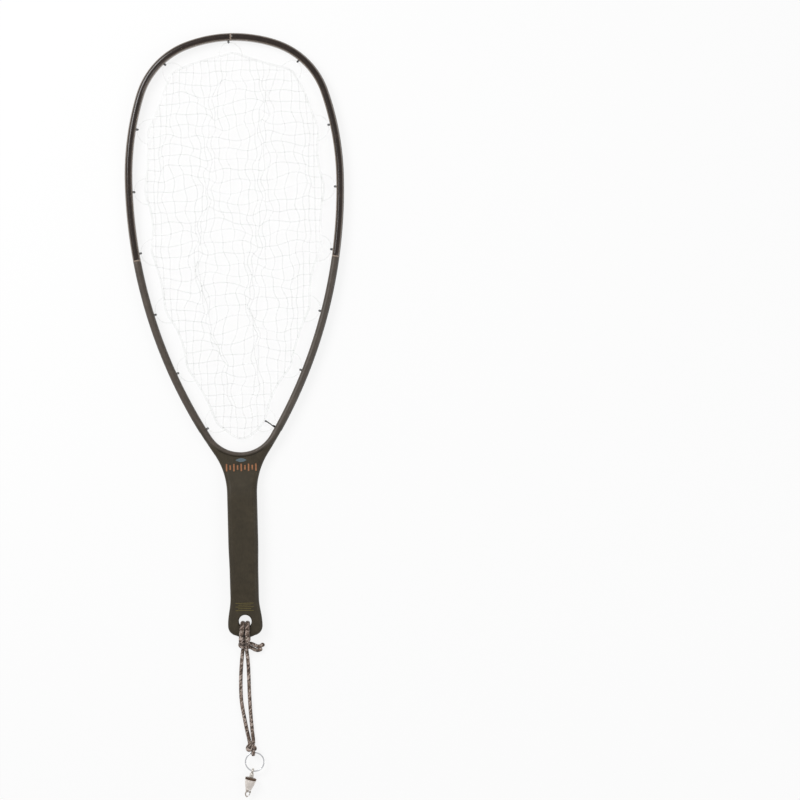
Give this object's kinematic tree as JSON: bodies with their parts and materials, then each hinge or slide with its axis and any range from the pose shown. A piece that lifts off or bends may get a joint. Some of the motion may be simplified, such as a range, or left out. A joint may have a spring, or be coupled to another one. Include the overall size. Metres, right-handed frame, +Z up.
{
  "type": "landing net",
  "caption": "Hand landing net: teardrop composite hoop on a slim handle, clear rubber mesh bag laced inside, cord lanyard with split ring and swivel snap.",
  "frame": {"origin": "on the surface the net lies on, half way between the hoop's tip and the handle's butt, on the handle's axis; the lanyard is left out", "axes": "X across the hoop, +Y from the handle towards the hoop's tip, +Z up, from the net's back to its front"},
  "size_m": [0.24, 0.8353, 0.0174],
  "materials": {
    "gloss_tube": "clear-coated carbon and glass composite",
    "matte_composite": "satin woven composite",
    "ferrule_composite": "sanded composite",
    "bond_line": "tan epoxy bond line",
    "foam": "closed-cell foam",
    "orange_print": "printed",
    "blue_print": "printed",
    "gold_print": "printed",
    "lacing": "waxed braided cord",
    "clear_rubber": "clear moulded rubber",
    "camo_cord": "braided camouflage cord",
    "bright_steel": "bright spring steel",
    "nickel": "satin nickel",
    "dark_collar": "dark bronze",
    "pale_metal": "pale satin metal"
  },
  "bodies": {
    "net_frame": {"hoop_tube_left": "gloss_tube", "hoop_tube_right": "gloss_tube", "lower_bow": "matte_composite", "ferrule_tip": "ferrule_composite", "ferrule_left": "ferrule_composite", "ferrule_right": "ferrule_composite", "bond_line_tip": "bond_line", "bond_line_left": "bond_line", "bond_line_right": "bond_line", "handle_front_shell": "matte_composite", "handle_back_shell": "matte_composite", "foam_core": "foam", "yoke_decal": "orange_print", "oval_decal": "blue_print", "butt_decal": "gold_print", "lacing_cord": "lacing", "lacing_stitches": "lacing", "lacing_tail": "lacing", "net_bag": "clear_rubber"},
    "lanyard": {"lanyard_loop_left": "camo_cord", "lanyard_loop_right": "camo_cord", "lanyard_knot_upper": "camo_cord", "lanyard_tails": "camo_cord", "lanyard_strand_left": "camo_cord", "lanyard_strand_right": "camo_cord", "lanyard_knot_lower": "camo_cord"},
    "ring": {"split_ring": "bright_steel"},
    "swivel": {"swivel_eye": "nickel"},
    "snap": {"swivel_collar": "dark_collar", "snap_barrel": "pale_metal", "snap_hook": "nickel", "gate_pin": "dark_collar"},
    "gate": {"snap_gate": "nickel"}
  },
  "joints": [
    {"name": "lanyard_swing", "type": "hinge", "parent": "net_frame", "child": "lanyard", "pos_m": [0, -0.312, 0.0086], "axis": [0, 0, 1], "range_deg": [-20, 20]},
    {"name": "ring_flip", "type": "hinge", "parent": "lanyard", "child": "ring", "pos_m": [0.005, -0.456, 0.0062], "axis": [-1, 0, 0], "range_deg": [0, 90]},
    {"name": "snap_swing", "type": "hinge", "parent": "ring", "child": "swivel", "pos_m": [0.00387, -0.47578, 0.0062], "axis": [-0.9681, 0.2504, 0], "range_deg": [0, 80]},
    {"name": "swivel_turn", "type": "hinge", "parent": "swivel", "child": "snap", "pos_m": [0.00387, -0.47578, 0.0062], "axis": [0.2504, 0.9681, 0], "continuous": true},
    {"name": "gate_open", "type": "hinge", "parent": "snap", "child": "gate", "pos_m": [0.00041, -0.49874, 0.0062], "axis": [0, 0, -1], "range_deg": [0, 25], "stiffness_Nm_per_rad": 0.002, "springref_deg": -5.73}
  ]
}
